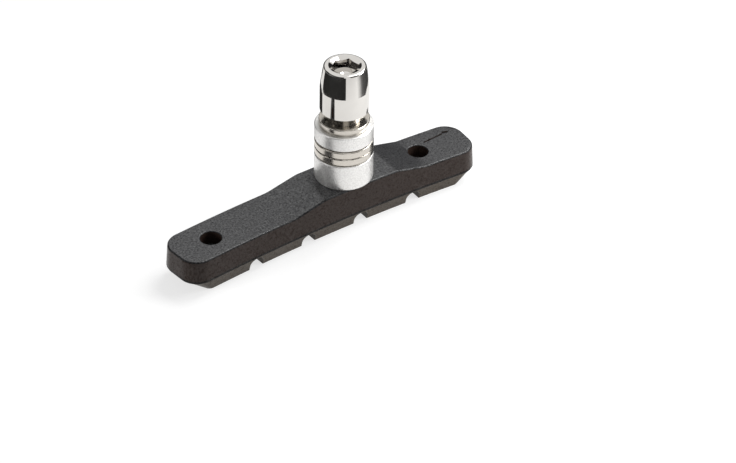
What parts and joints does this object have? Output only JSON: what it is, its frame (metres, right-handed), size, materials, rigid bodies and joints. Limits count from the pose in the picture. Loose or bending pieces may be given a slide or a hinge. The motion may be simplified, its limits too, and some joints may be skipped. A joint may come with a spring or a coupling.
{
  "type": "bicycle rim brake pad",
  "caption": "Rubber rim brake pad, bent and grooved, with a threaded stud, cup and dome swivel washers and a socket nut that clamp it to a brake arm.",
  "frame": {"origin": "middle of the friction face, on its middle block", "axes": "+X along the pad, towards the end that the stud is nearer to; +Y towards the side that bulges; +Z along the stud, away from the rim"},
  "size_m": [0.0722, 0.013, 0.0358],
  "materials": {
    "rubber": "matte moulded rubber, fine grain",
    "plate_steel": "black bonding coat",
    "stud_steel": "bright zinc thread",
    "satin_silver": "fine blasted silver",
    "bright_nickel": "polished nickel",
    "polished_chrome": "mirror chrome"
  },
  "bodies": {
    "pad": {"rubber_pad": "rubber", "backing_plate": "plate_steel", "threaded_stud": "stud_steel", "thick_cup_washer": "satin_silver", "inner_dome_washer": "bright_nickel"},
    "outer_washers": {"outer_dome_washer": "bright_nickel", "thin_cup_washer": "satin_silver", "flat_washer": "bright_nickel"},
    "nut": {"socket_nut": "polished_chrome"}
  },
  "joints": [
    {"name": "clamp_travel", "type": "slide", "parent": "pad", "child": "outer_washers", "axis": [0, 0, 1], "range_m": [0, 0.006]},
    {"name": "nut_turn", "type": "hinge", "parent": "outer_washers", "child": "nut", "pos_m": [0.00555, -0.00004, 0.02356], "axis": [0, 0, 1], "range_deg": [0, 2160]}
  ],
  "couplings": [
    {"joint": "nut_turn", "follows": "clamp_travel", "rad_per_m": 6283.2}
  ]
}
